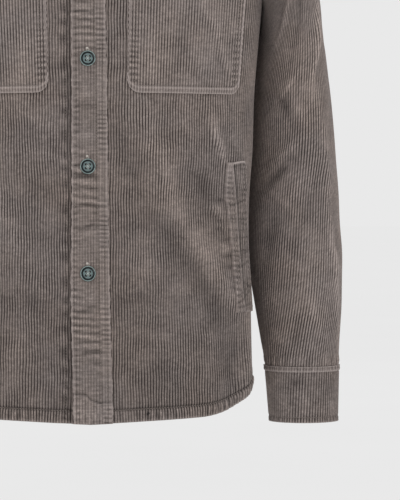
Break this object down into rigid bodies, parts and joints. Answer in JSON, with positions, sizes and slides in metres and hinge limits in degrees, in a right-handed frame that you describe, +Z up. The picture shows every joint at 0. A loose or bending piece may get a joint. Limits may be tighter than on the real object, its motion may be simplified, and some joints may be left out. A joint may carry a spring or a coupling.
{
  "type": "shirt jacket",
  "caption": "Corduroy shirt-jacket, buttoned up and filled out, with a point collar, chest and hand pockets, cuffs and a shirt-tail hem.",
  "frame": {"origin": "middle of the neck, between the two neck points of the shoulder seams, where the shoulders carry the garment", "axes": "+Z up from hem to collar, -Y out of the front, +X towards the wearer's left"},
  "size_m": [0.5898, 0.251, 0.7912],
  "materials": {
    "corduroy": "8-wale cotton corduroy, grey-brown, worn lighter on its edges",
    "corduroy_trim": "the same corduroy, doubled and topstitched",
    "button": "dark blue-grey shirt buttons with a raised rim"
  },
  "bodies": {
    "root": {"front_left": "corduroy", "front_right": "corduroy", "back": "corduroy", "placket": "corduroy_trim", "chest_pocket_left": "corduroy", "chest_pocket_right": "corduroy", "hand_pocket_welt_left": "corduroy_trim", "hand_pocket_welt_right": "corduroy_trim", "sleeve_left": "corduroy", "sleeve_right": "corduroy", "cuff_left": "corduroy_trim", "cuff_right": "corduroy_trim", "collar_stand": "corduroy_trim", "collar": "corduroy_trim", "button_1": "button", "button_2": "button", "button_3": "button", "button_4": "button", "button_5": "button", "cuff_button_left": "button", "cuff_button_right": "button"}
  },
  "joints": []
}
